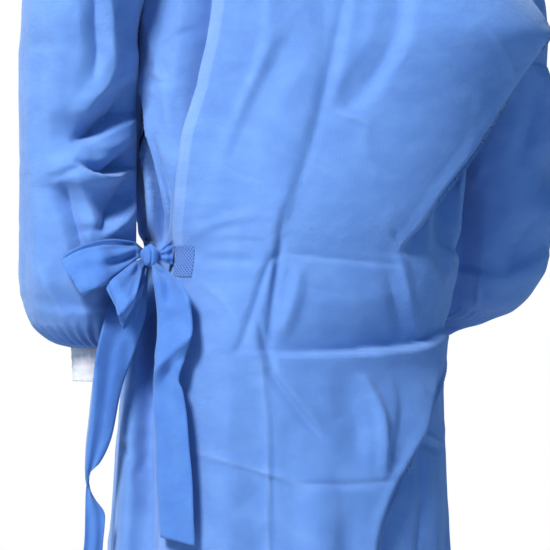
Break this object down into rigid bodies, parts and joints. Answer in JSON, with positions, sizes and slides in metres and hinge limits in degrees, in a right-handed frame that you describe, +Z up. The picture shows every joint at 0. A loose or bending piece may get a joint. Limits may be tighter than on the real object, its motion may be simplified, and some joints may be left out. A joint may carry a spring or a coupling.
{
  "type": "worn surgical gown",
  "caption": "Disposable wrap-back surgical gown in blue nonwoven with raglan sleeves, knitted cuffs and a side bow, standing hollow as worn.",
  "frame": {"origin": "middle of the neck base, where the wearer's shoulders hold the gown up", "axes": "+Z up, the wearer faces -Y, the wearer's left is +X"},
  "size_m": [0.732, 0.416, 1.2762],
  "materials": {
    "gown_cloth": "matte blue nonwoven with a fine diamond emboss",
    "tie_cloth": "matte blue nonwoven tape",
    "knit": "white ribbed knit",
    "tab_cloth": "white hook-and-loop tab"
  },
  "bodies": {
    "root": {"back_left": "gown_cloth", "back_right": "gown_cloth", "cuff_left": "knit", "cuff_right": "knit", "front": "gown_cloth", "neck_binding": "gown_cloth", "neck_tab": "tab_cloth", "sleeve_left": "gown_cloth", "sleeve_right": "gown_cloth", "tie_back_run": "tie_cloth", "tie_front_run": "tie_cloth", "tie_knot": "tie_cloth", "tie_loop_lower": "tie_cloth", "tie_loop_upper": "tie_cloth", "tie_tail_left": "tie_cloth", "tie_tail_right": "tie_cloth", "tie_weld_back": "tie_cloth", "tie_weld_front": "tie_cloth"}
  },
  "joints": []
}
